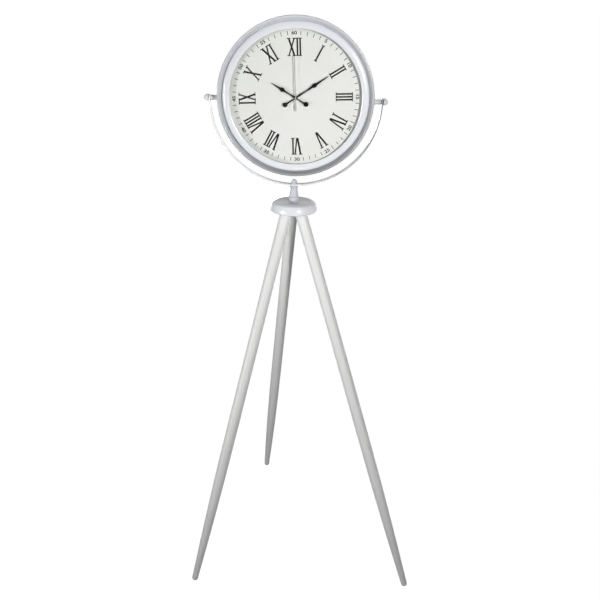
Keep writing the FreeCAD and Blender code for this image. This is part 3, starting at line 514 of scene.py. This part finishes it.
def leg_material(side):
    """Painted wood: the grain runs along the leg and shows faintly in colour and relief."""
    material, tree, shader = new_material("painted_leg_" + side)
    base = finishes().leg_paint
    low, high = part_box("leg_" + side)
    top = Vector((0.0, 0.0, high.z))
    foot = Vector((max(low.x, high.x, key=abs), max(low.y, high.y, key=abs), low.z))
    along = (top - foot).normalized()
    mapping = tree.nodes.new("ShaderNodeMapping")
    mapping.vector_type = "TEXTURE"
    mapping.inputs["Rotation"].default_value = along.to_track_quat("Z", "Y").to_euler()
    mapping.inputs["Scale"].default_value = (1.0, 1.0, 40.0)
    tree.links.new(object_place(tree), mapping.inputs["Vector"])
    grain = place_group(tree, "Streaks", Vector=mapping.outputs["Vector"], Scale=420.0,
                        Contrast=finishes().leg_grain)["Mask"]
    cloud = place_group(tree, "Mottle", Colour=rgba(base), Second_Colour=rgba(base, 0.93), Roughness=0.48,
                        Spread=0.12, Scale=5.0)
    # Painted shade in corners and under overhangs
    dust = place_group(tree, "Crevice Dust", Reach=20.0 * MM, Amount=0.5)["Mask"]
    streaked = colour_mix(tree, grain, cloud["Colour"], rgba(base, 0.80))
    shown = colour_mix(tree, dust, streaked, rgba(base, 0.45))
    if side == "rear":
        heights = scaled(REAR_SHADE_SPAN, high.z)
        shade = ramp_node(tree, place_parts(tree)["Z"], heights, (finishes().rear_shade, 0.0))
        shown = colour_mix(tree, shade, shown, rgba(BLACK))
    tree.links.new(shown, shader.inputs["Base Color"])
    tree.links.new(cloud["Roughness"], shader.inputs["Roughness"])
    add_bump(tree, shader, grain, 0.4, 0.12 * MM)
    return material


def glass_material():
    """Clear glass that lets lamp light through to the dial."""
    material, tree, shader = new_material("clear_glass")
    shader.inputs["Base Color"].default_value = (0.97, 0.985, 0.98, 1.0)
    shader.inputs["Roughness"].default_value = 0.0
    shader.inputs["IOR"].default_value = 1.46
    shader.inputs["Transmission Weight"].default_value = 1.0
    through = tree.nodes.new("ShaderNodeBsdfTransparent")
    path = tree.nodes.new("ShaderNodeLightPath")
    mix = tree.nodes.new("ShaderNodeMixShader")
    unseen = math_node(tree, "MAXIMUM", path.outputs["Is Shadow Ray"], path.outputs["Is Diffuse Ray"])
    tree.links.new(unseen, mix.inputs["Fac"])
    tree.links.new(shader.outputs["BSDF"], mix.inputs[1])
    tree.links.new(through.outputs["BSDF"], mix.inputs[2])
    tree.links.new(mix.outputs["Shader"], tree.nodes["Material Output"].inputs["Surface"])
    return material


def dial_card_material():
    """Printed card with a painted shadow of the bezel's lip towards its upper left edge."""
    base = finishes().dial_card
    second = (base[0] * 0.985, base[1] * 0.98, base[2] * 0.965)
    card = mottled("dial_card", base, second, 0.55, scale=14.0, ripple=1400.0, ripple_depth=0.015)
    tree = card.node_tree
    width = finishes().edge_width
    radius = DIAL_HIGH.z - DIAL_CENTRE.z
    # Painted shadow of the bezel's lip on the card's upper left edge
    shade = place_group(tree, "Dial Ring", Inner=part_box("spacer_ring")[1].x - width, Outer=2 * radius,
                        Softness=width)["Mask"]
    place = place_parts(tree)
    heights = (DIAL_CENTRE.z - radius / 4, DIAL_CENTRE.z + radius / 2)
    upper = ramp_node(tree, place["Z"], heights, (0.0, finishes().edge_shade))
    left = ramp_node(tree, place["X"], (DIAL_LOW.x / 2, DIAL_HIGH.x), (1.0, 0.0))
    for share_of_shade in (upper, left):
        shade = math_node(tree, "MULTIPLY", shade, share_of_shade)
    tint(card, shade, BLACK)
    return card


def spacer_material():
    """Plastic ring with painted shade towards its right side."""
    base = finishes().spacer
    ring = mottled("spacer_plastic", base, scaled(base, 0.94), 0.5, scale=30.0)
    tree = ring.node_tree
    # Painted shade towards the right side
    right = ramp_node(tree, place_parts(tree)["X"], (0.0, DIAL_HIGH.x), (0.0, 1.0))
    tint(ring, right, finishes().spacer_right)
    return ring


def brushed(name, base, roughness, stretch, contrast):
    """Bare metal with fine lines, which run along the axes where the stretch is small."""
    material, tree, shader = new_material(name)
    mapping = tree.nodes.new("ShaderNodeMapping")
    mapping.inputs["Scale"].default_value = stretch
    tree.links.new(object_place(tree), mapping.inputs["Vector"])
    lines = place_group(tree, "Streaks", Vector=mapping.outputs["Vector"], Scale=900.0,
                        Contrast=contrast)["Mask"]
    tree.links.new(colour_mix(tree, lines, rgba(base), rgba(base, 0.7)), shader.inputs["Base Color"])
    rough = math_node(tree, "ADD", math_node(tree, "MULTIPLY", lines, 0.2), roughness)
    tree.links.new(rough, shader.inputs["Roughness"])
    shader.inputs["Metallic"].default_value = 1.0
    add_bump(tree, shader, lines, 0.3, 0.02 * MM)
    return material


def winding_material():
    """Copper wire wound in close turns round the coil."""
    material, tree, shader = new_material("copper_winding")
    turns = tree.nodes.new("ShaderNodeTexWave")
    turns.bands_direction = "X"
    turns.inputs["Scale"].default_value = 900.0
    turns.inputs["Distortion"].default_value = 0.4
    tree.links.new(object_place(tree), turns.inputs["Vector"])
    shown = colour_mix(tree, turns.outputs["Fac"], (0.30, 0.10, 0.04, 1.0), (0.72, 0.36, 0.17, 1.0))
    tree.links.new(shown, shader.inputs["Base Color"])
    shader.inputs["Metallic"].default_value = 0.9
    shader.inputs["Roughness"].default_value = 0.3
    add_bump(tree, shader, turns.outputs["Fac"], 0.6, 0.1 * MM)
    return material


def paint(material, *nodes):
    for node in nodes:
        slots = NODES[node].data.materials
        slots.clear()
        slots.append(material)


class CLOCK_OT_paint_stand(bpy.types.Operator):
    """Paints the legs, cap, yoke, stem, finial and the hardware of the stand"""
    bl_idname = "clock.paint_stand"
    bl_label = "Paint the stand"

    def execute(self, context):
        for side in ("left", "right", "rear"):
            paint(leg_material(side), "leg_" + side)
        paint(dusty_enamel("white_enamel", finishes().wiped_until), "canopy_cap")
        paint(yoke_material(), "yoke_strip")
        # The satin paint's darker tone is painted shade
        paint(baked_paint("satin_paint", finishes().satin, roughness=0.45, coat=0.0), "stem", "finial")
        zinc = brushed("zinc_steel", (0.58, 0.58, 0.59), roughness=0.32, stretch=(1.0, 1.0, 0.05),
                       contrast=0.6)
        paint(zinc, "leg_bolts", "leg_plate", "centre_rod", "plate_nut", "plate_washer")
        fibre = mottled("pale_fibre", (0.70, 0.69, 0.65), (0.60, 0.58, 0.52), 0.8, scale=300.0,
                        ripple=1500.0)
        paint(fibre, "swivel_washers", "pivot_washers", "dial_washer")
        return {"FINISHED"}


class CLOCK_OT_paint_head(bpy.types.Operator):
    """Paints the case, bezel, posts, thumb nuts, glass and dial"""
    bl_idname = "clock.paint_head"
    bl_label = "Paint the head"

    def execute(self, context):
        paint(bpy.data.materials["white_enamel"], "case_drum", "rear_cover")
        paint(enamel_material("clean_enamel"), "post_left", "knob_left")
        # Painted shade on the right post and thumb nut
        right = grey_towards_right(enamel_material("grey_enamel"), finishes().fitting_grey)
        paint(right, "post_right", "knob_right")
        paint(bezel_material(), "bezel")
        paint(bpy.data.materials["zinc_steel"], "bezel_screws", "cover_screws", "pivot_studs", "pivot_nuts")
        paint(glass_material(), "glass")
        rubber = mottled("black_rubber", (0.03, 0.03, 0.03), (0.045, 0.045, 0.045), 0.7, scale=120.0,
                         ripple=1200.0)
        paint(rubber, "glass_gasket", "dial_cushion")
        paint(spacer_material(), "spacer_ring")
        paint(dial_card_material(), "dial")
        return {"FINISHED"}


class CLOCK_OT_paint_movement(bpy.types.Operator):
    """Paints the battery movement, its wheels and its electric pieces"""
    bl_idname = "clock.paint_movement"
    bl_label = "Paint the movement"

    def execute(self, context):
        black = mottled("moulded_black", (0.025, 0.025, 0.027), (0.04, 0.04, 0.042), 0.55, scale=200.0,
                        ripple=2600.0, ripple_depth=0.05)
        paint(black, "movement_case", "movement_lid", "setting_knob")
        brass = brushed("turned_brass", (0.72, 0.55, 0.24), roughness=0.28, stretch=(0.1, 1.0, 0.1),
                        contrast=0.5)
        paint(brass, "shaft_bush", "minute_arbor", "dial_nut", "minute_nut")
        nylon = mottled("moulded_nylon", (0.78, 0.77, 0.70), (0.74, 0.72, 0.64), 0.45, scale=90.0,
                        ripple=1500.0)
        paint(nylon, "train_plate", "hour_wheel", "second_wheel", "centre_wheel", "third_wheel",
              "step_wheel", "rotor", "motion_wheel")
        sleeve = mottled("battery_sleeve", (0.03, 0.05, 0.09), (0.04, 0.065, 0.11), 0.3, scale=60.0,
                         coat=0.4)
        paint(sleeve, "battery")
        paint(bpy.data.materials["zinc_steel"], "battery_contacts", "stator")
        board = mottled("green_board", (0.03, 0.17, 0.07), (0.02, 0.12, 0.05), 0.35, scale=700.0, coat=0.3)
        paint(board, "circuit_board")
        paint(winding_material(), "coil")
        return {"FINISHED"}


class CLOCK_OT_paint_hands(bpy.types.Operator):
    """Paints the three hands"""
    bl_idname = "clock.paint_hands"
    bl_label = "Paint the hands"

    def execute(self, context):
        black = finishes().hand_paint
        satin = mottled("black_hand", black, scaled(black, 1.6), 0.45, scale=60.0, ripple=900.0,
                        specular=0.1)
        paint(satin, "hour_hand", "minute_hand")
        grey = finishes().second_paint
        dull = mottled("grey_hand", grey, scaled(grey, 0.92), 0.45, scale=60.0, ripple=900.0)
        paint(dull, "second_hand")
        return {"FINISHED"}


# Dial print: flat figures laid out as (across, up) points about the dial's middle

NUMERALS = ("XII", "I", "II", "III", "IV", "V", "VI", "VII", "VIII", "IX", "X", "XI")
# Hours in the lower half, where the minute figures stand with their feet outwards
UPRIGHT_HOURS = range(4, 9)
# Share of the film by which each further layer of crossing strokes stands higher
LAYER_RISE = 0.3
# How many times wider the thick stroke of a slanted letter is, measured across
SLANT_GAIN = 1.15


class InkSheet:
    """Collects flat shapes of thin ink on the dial and turns them into one piece."""

    def __init__(self, lift):
        self.lift = lift
        self.mesh = bmesh.new()

    def add(self, points, turn, layer=0):
        """One closed shape, its points anticlockwise, turned clockwise about the dial's middle."""
        spin = Matrix.Rotation(-turn, 2)
        depth = self.lift * (1.0 + LAYER_RISE * layer)
        front, back = [], []
        for point in points:
            across, up = spin @ Vector(point)
            place = DIAL_CENTRE + Vector((across, 0.0, up))
            back.append(self.mesh.verts.new(place))
            front.append(self.mesh.verts.new(place - Vector((0.0, depth, 0.0))))
        self.mesh.faces.new(front)
        self.mesh.faces.new(reversed(back))
        count = len(points)
        for i in range(count):
            j = (i + 1) % count
            self.mesh.faces.new((front[j], front[i], back[i], back[j]))

    def finish(self, name, material):
        """Makes the piece, which rides on the head."""
        data = bpy.data.meshes.new(name)
        bmesh.ops.recalc_face_normals(self.mesh, faces=self.mesh.faces)
        self.mesh.to_mesh(data)
        self.mesh.free()
        data.materials.append(material)
        piece = bpy.data.objects.new(name, data)
        bpy.context.scene.collection.objects.link(piece)
        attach(piece, "head")


def slanted(foot, top, width, low, high):
    """Slanted stroke of even width across, from its foot at the lower line to its top at the upper line."""
    half = width / 2
    return [(foot - half, low), (foot + half, low), (top + half, high), (top - half, high)]


def bar(left, right, low, high):
    return [(left, low), (right, low), (right, high), (left, high)]


def stroke_places(letters, figures):
    """Each letter of a numeral with the places of its two arms, which are one in a straight letter."""
    spots = []
    place = 0.0
    for before, letter in zip(" " + letters, letters):
        if spots:
            place += figures.five_pitch if before == "V" else figures.stem_pitch
        right = place if letter == "I" else place + figures.letter_width
        spots.append((letter, place, right))
        place = right
    return [(letter, left - place / 2, right - place / 2) for letter, left, right in spots]


def add_serif(sheet, middle, stroke, low, figures, turn):
    half = stroke / 2 + figures.serif_reach
    sheet.add(bar(middle - half, middle + half, low, low + figures.serif_height), turn, 1)


def add_straight(sheet, middle, figures, turn):
    low, high = figures.numeral_inner, figures.numeral_outer
    half = figures.stem_width / 2
    sheet.add(bar(middle - half, middle + half, low, high), turn)
    for foot in (low, high - figures.serif_height):
        add_serif(sheet, middle, figures.stem_width, foot, figures, turn)


def add_slanted_letter(sheet, letter, left, right, figures, turn):
    """The five or the ten: a thick stroke that falls to the right and a thin one across or beside it."""
    low, high = figures.numeral_inner, figures.numeral_outer
    thick, thin = figures.stem_width * SLANT_GAIN, figures.hair_width
    top_serif = high - figures.serif_height
    if letter == "X":
        sheet.add(slanted(right, left, thick, low, high), turn)
        sheet.add(slanted(left, right, thin, low, high), turn, 2)
        add_serif(sheet, right, thick, low, figures, turn)
        add_serif(sheet, left, thin, low, figures, turn)
    else:
        middle = (left + right) / 2
        sheet.add(slanted(middle, left, thick, low, high), turn)
        sheet.add(slanted(middle + thin / 2, right, thin, low, high), turn, 2)
    add_serif(sheet, left, thick, top_serif, figures, turn)
    add_serif(sheet, right, thin, top_serif, figures, turn)


def add_numeral(sheet, letters, figures, turn):
    """One hour numeral, its foot towards the dial's middle."""
    for letter, left, right in stroke_places(letters, figures):
        if letter == "I":
            add_straight(sheet, left, figures, turn)
        else:
            add_slanted_letter(sheet, letter, left, right, figures, turn)


def figure_shapes(text, figures):
    """Filled shapes of a short number in the built-in typeface, centred on the origin."""
    curve = bpy.data.curves.new("figure", "FONT")
    curve.body = text
    curve.align_x = "CENTER"
    curve.size = 1.0
    curve.offset = figures.figure_weight
    made = bpy.data.objects.new("figure", curve)
    bpy.context.scene.collection.objects.link(made)
    bpy.context.view_layer.update()
    flat = bpy.data.meshes.new_from_object(made.evaluated_get(bpy.context.evaluated_depsgraph_get()))
    bpy.data.objects.remove(made)
    bpy.data.curves.remove(curve)
    ups = [vertex.co.y for vertex in flat.vertices]
    tall = figures.figure_height / (max(ups) - min(ups))
    wide = tall * figures.figure_stretch
    middle = (max(ups) + min(ups)) / 2
    points = [(vertex.co.x * wide, (vertex.co.y - middle) * tall) for vertex in flat.vertices]
    shapes = [[points[i] for i in face.vertices] for face in flat.polygons]
    bpy.data.meshes.remove(flat)
    return shapes


class CLOCK_OT_print_dial(bpy.types.Operator):
    """Prints the hour numerals, the minute ticks and the minute figures on the dial"""
    bl_idname = "clock.print_dial"
    bl_label = "Print the dial"

    def execute(self, context):
        figures = dial_print()
        ink, minute_ink = finishes().ink, finishes().minute_ink
        dark = mottled("dial_ink", ink, scaled(ink, 1.5), 0.5, scale=80.0, specular=0.1)
        thin = mottled("minute_ink", minute_ink, scaled(minute_ink, 1.15), 0.5, scale=80.0, specular=0.1)
        numerals = InkSheet(figures.film)
        ticks = InkSheet(figures.film)
        numbers = InkSheet(figures.film)
        half = figures.tick_width / 2
        tick = bar(-half, half, figures.tick_inner, figures.tick_outer)
        for hour, letters in enumerate(NUMERALS):
            turn = figures.card_turn + hour * math.tau / 12
            add_numeral(numerals, letters, figures, turn)
            way_up = -1 if hour in UPRIGHT_HOURS else 1
            for shape in figure_shapes(str(5 * hour or 60), figures):
                raised = [(way_up * across, way_up * up + figures.figure_radius) for across, up in shape]
                numbers.add(raised, turn)
            for minute in range(1, 5):
                ticks.add(tick, turn + minute * math.tau / 60)
        numerals.finish("hour_numerals", dark)
        ticks.finish("minute_ticks", thin)
        numbers.finish("minute_figures", thin)
        return {"FINISHED"}


# Stage

# Distances from the clock between which the floor's glow grows to white, and that glow
FLOOR_REACH = (1.0, 2.5)
FLOOR_GLOW = (0.975, 1.0)
# Rise of a direction from which the surround is as weak as straight above
SURROUND_TOP = 0.7
# Each lamp's place and aim, its width in metres and its spread in degrees
LAMPS = {
    "key": ((1.45, -2.7, 1.7), (0.0, 0.0, 1.4), 0.45, 60.0),
    "fill": ((-2.4, -1.9, 0.9), (0.0, 0.0, 0.8), 0.8, 50.0),
    "leg": ((1.3, -1.3, 0.4), (0.25, -0.15, 0.35), 0.5, 70.0),
    "back": ((-0.5, 2.6, 0.7), (0.0, 0.0, 0.95), 0.8, 60.0),
    "low": ((0.0, -1.6, 0.12), DIAL_CENTRE, 0.3, 40.0),
}


def floor_material():
    """Pale floor that looks white and keeps a faint shadow round the clock."""
    material = bpy.data.materials.new("pale_floor")
    material.use_nodes = True
    tree = material.node_tree
    tree.nodes.clear()
    pale = tree.nodes.new("ShaderNodeBsdfDiffuse")
    pale.inputs["Color"].default_value = (0.8, 0.8, 0.8, 1.0)
    thin = tree.nodes.new("ShaderNodeBsdfDiffuse")
    thin.inputs["Color"].default_value = (0.30, 0.30, 0.30, 1.0)
    glow = tree.nodes.new("ShaderNodeEmission")
    away = vector_node(tree, "LENGTH", object_place(tree))["Value"]
    tree.links.new(ramp_node(tree, away, FLOOR_REACH, FLOOR_GLOW), glow.inputs["Strength"])
    seen_floor = tree.nodes.new("ShaderNodeAddShader")
    tree.links.new(thin.outputs["BSDF"], seen_floor.inputs[0])
    tree.links.new(glow.outputs["Emission"], seen_floor.inputs[1])
    mix = tree.nodes.new("ShaderNodeMixShader")
    tree.links.new(seen_rays(tree), mix.inputs["Fac"])
    tree.links.new(pale.outputs["BSDF"], mix.inputs[1])
    tree.links.new(seen_floor.outputs["Shader"], mix.inputs[2])
    out = tree.nodes.new("ShaderNodeOutputMaterial")
    tree.links.new(mix.outputs["Shader"], out.inputs["Surface"])
    return material


def seen_rays(tree):
    """One for rays from the camera, from reflections and through glass."""
    path = tree.nodes.new("ShaderNodeLightPath")
    seen = math_node(tree, "MAXIMUM", path.outputs["Is Camera Ray"], path.outputs["Is Glossy Ray"])
    return math_node(tree, "MAXIMUM", seen, path.outputs["Is Transmission Ray"])


def make_world():
    """White for what the camera and reflections see, and a weak surround that fades towards the top."""
    world = bpy.data.worlds.new("studio_surround")
    world.use_nodes = True
    tree = world.node_tree
    background = tree.nodes["Background"]
    direction = vector_parts(tree, tree.nodes.new("ShaderNodeTexCoord").outputs["Generated"])
    fade = ramp_node(tree, direction["Z"], (0.0, SURROUND_TOP), (studio().surround, studio().zenith))
    seen = seen_rays(tree)
    rest = math_node(tree, "MULTIPLY", math_node(tree, "SUBTRACT", 1.0, seen), fade)
    tree.links.new(math_node(tree, "ADD", seen, rest), background.inputs["Strength"])
    background.inputs["Color"].default_value = (1.0, 1.0, 1.0, 1.0)
    bpy.context.scene.world = world


def make_sheet(name, corners, material):
    """One flat face that belongs to the studio, not to the clock."""
    data = bpy.data.meshes.new(name)
    data.from_pydata(corners, [], [(0, 1, 2, 3)])
    data.materials.append(material)
    sheet = bpy.data.objects.new(name, data)
    bpy.context.scene.collection.objects.link(sheet)
    return sheet


def make_floor():
    half = 60.0
    corners = [(-half, -half, 0.0), (half, -half, 0.0), (half, half, 0.0), (-half, half, 0.0)]
    make_sheet("studio_floor", corners, floor_material())


def make_dark_card():
    """Dark upright card before the clock, hidden from the camera, for the glass and enamel to mirror."""
    front, half, height = -4.2, 2.6, 3.0
    dark = mottled("dark_card", (0.02, 0.02, 0.02), (0.03, 0.03, 0.03), 0.9, scale=3.0)
    corners = [(-half, front, 0.0), (half, front, 0.0), (half, front, height), (-half, front, height)]
    make_sheet("studio_dark_card", corners, dark).visible_camera = False


def make_lamp(name, place, aim, size, power, spread):
    data = bpy.data.lights.new(name, "AREA")
    data.shape = "DISK"
    data.size = size
    data.energy = power
    data.spread = math.radians(spread)
    lamp = bpy.data.objects.new(name, data)
    lamp.location = place
    lamp.rotation_euler = (Vector(aim) - Vector(place)).to_track_quat("-Z", "Y").to_euler()
    bpy.context.scene.collection.objects.link(lamp)


def make_camera():
    given = studio()
    data = bpy.data.cameras.new("photo_camera")
    data.sensor_width = given.sensor
    data.lens = given.lens
    data.clip_end = 200.0
    camera = bpy.data.objects.new("photo_camera", data)
    bpy.context.scene.collection.objects.link(camera)
    look = Euler((math.pi / 2 - given.camera_pitch, 0.0, given.camera_turn)).to_matrix()
    roll = Matrix.Rotation(given.camera_roll, 3, "Z")
    camera.matrix_world = Matrix.Translation(given.camera_place) @ (look @ roll).to_4x4()
    bpy.context.scene.camera = camera


class CLOCK_OT_set_stage(bpy.types.Operator):
    """Makes the camera, the surround, the floor, the dark card and the lamps"""
    bl_idname = "clock.set_stage"
    bl_label = "Set the stage"

    def execute(self, context):
        make_camera()
        make_world()
        make_floor()
        make_dark_card()
        for name, (place, aim, size, spread) in LAMPS.items():
            make_lamp(name + "_lamp", place, aim, size, getattr(studio(), name + "_power"), spread)
        context.scene.view_settings.view_transform = "Standard"
        return {"FINISHED"}


class CLOCK_PT_sidebar(bpy.types.Panel):
    """Lists the clock's steps and settings"""
    bl_label = "Tripod Floor Clock"
    bl_idname = "CLOCK_PT_sidebar"
    bl_space_type = "VIEW_3D"
    bl_region_type = "UI"
    bl_category = "Clock"

    def draw(self, context):
        for operator in OPERATORS:
            self.layout.operator(operator.bl_idname)
        for group in (finishes(), dial_print(), studio()):
            box = self.layout.box()
            for name in group.__annotations__:
                box.prop(group, name)


OPERATORS = (CLOCK_OT_set_stage, CLOCK_OT_paint_stand, CLOCK_OT_paint_head, CLOCK_OT_paint_movement,
             CLOCK_OT_paint_hands, CLOCK_OT_print_dial)
GROUPS = {
    "clock_finishes": ClockFinishes,
    "clock_dial_print": ClockDialPrint,
    "clock_studio": ClockStudio,
}


def register():
    for name, group in GROUPS.items():
        bpy.utils.register_class(group)
        setattr(bpy.types.Scene, name, PointerProperty(type=group))
    for operator in OPERATORS:
        bpy.utils.register_class(operator)
    bpy.utils.register_class(CLOCK_PT_sidebar)


def unregister():
    bpy.utils.unregister_class(CLOCK_PT_sidebar)
    for operator in reversed(OPERATORS):
        bpy.utils.unregister_class(operator)
    for name, group in GROUPS.items():
        delattr(bpy.types.Scene, name)
        bpy.utils.unregister_class(group)


def main():
    register()
    bpy.ops.clock.set_stage()
    bpy.ops.clock.paint_stand()
    bpy.ops.clock.paint_head()
    bpy.ops.clock.paint_movement()
    bpy.ops.clock.paint_hands()
    bpy.ops.clock.print_dial()


if __name__ == "__main__":
    main()
